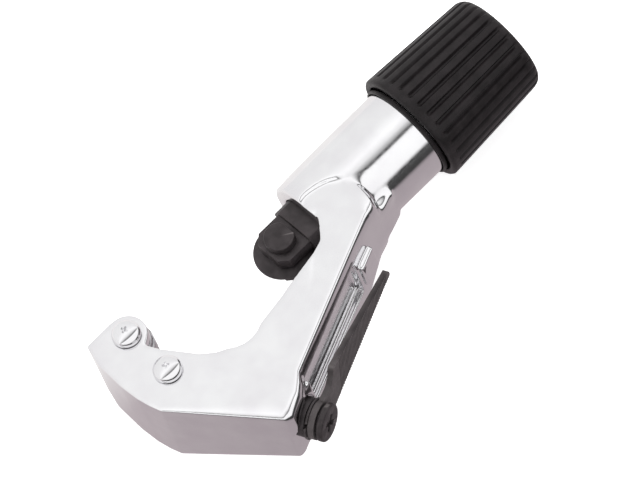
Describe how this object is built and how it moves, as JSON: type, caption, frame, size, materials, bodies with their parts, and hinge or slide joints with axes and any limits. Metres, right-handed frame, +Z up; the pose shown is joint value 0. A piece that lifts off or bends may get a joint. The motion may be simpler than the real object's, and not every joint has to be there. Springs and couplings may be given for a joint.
{
  "type": "pipe cutter",
  "caption": "Hand pipe cutter with a chrome C-shaped frame, a ribbed feed knob, a sliding cutting wheel, guide rollers and a folding reamer.",
  "frame": {"origin": "middle of the footprint of the tool lying on its back side, on the surface it rests on", "axes": "+X along the feed axis towards the knob, +Y out of the throat, +Z up, away from the surface; the tool is turned 5.9 degrees about X because it lies on its knob and on the heel of its arm"},
  "size_m": [0.1464, 0.0674, 0.0353],
  "materials": {
    "chrome_plate": "bright chrome plate on a die casting",
    "roller_steel": "turned and plated",
    "bright_steel": "turned",
    "black_oxide": "black oxide, satin",
    "bronze": "turned",
    "black_plastic": "moulded, satin"
  },
  "bodies": {
    "frame": {"frame_body": "chrome_plate", "barrel_collar": "black_plastic", "thrust_washer": "bronze", "thrust_bush": "bronze", "guide_key": "bright_steel", "roller_screw_1": "chrome_plate", "roller_screw_2": "chrome_plate", "roller_nut_1": "chrome_plate", "roller_nut_2": "chrome_plate", "reamer_boss": "black_oxide", "reamer_spring_washer": "black_oxide", "reamer_washer": "black_oxide", "reamer_screw": "black_oxide"},
    "knob": {"knob_shell": "black_plastic", "knob_cap": "black_plastic", "knob_hub": "bright_steel", "knob_washer": "bright_steel", "knob_screw": "bright_steel", "feed_screw": "bright_steel"},
    "carrier": {"wheel_carrier": "black_oxide", "wheel_pin": "black_oxide", "pin_clip": "bright_steel"},
    "wheel": {"cutting_wheel": "black_oxide"},
    "roller_a": {"roller_1": "roller_steel"},
    "roller_b": {"roller_2": "roller_steel"},
    "reamer": {"reamer_blade": "black_oxide"}
  },
  "joints": [
    {"name": "knob_turn", "type": "hinge", "parent": "frame", "child": "knob", "pos_m": [0, 0.01602, 0.01765], "axis": [-1, 0, 0], "range_deg": [0, 5760]},
    {"name": "carrier_feed", "type": "slide", "parent": "frame", "child": "carrier", "axis": [-1, 0, 0], "range_m": [0, 0.032]},
    {"name": "wheel_spin", "type": "hinge", "parent": "carrier", "child": "wheel", "pos_m": [-0.01185, 0.01602, 0.01765], "axis": [0, -0.1025, 0.9947], "continuous": true},
    {"name": "roller_a_spin", "type": "hinge", "parent": "frame", "child": "roller_a", "pos_m": [-0.06125, 0.02428, 0.0185], "axis": [0, -0.1025, 0.9947], "continuous": true},
    {"name": "roller_b_spin", "type": "hinge", "parent": "frame", "child": "roller_b", "pos_m": [-0.06125, 0.00776, 0.0168], "axis": [0, -0.1025, 0.9947], "continuous": true},
    {"name": "reamer_swing", "type": "hinge", "parent": "frame", "child": "reamer", "pos_m": [-0.04291, -0.02704, 0.01422], "axis": [0.3987, -0.9122, -0.094], "range_deg": [0, 180]}
  ],
  "couplings": [
    {"joint": "knob_turn", "follows": "carrier_feed", "rad_per_m": 3141.5}
  ]
}
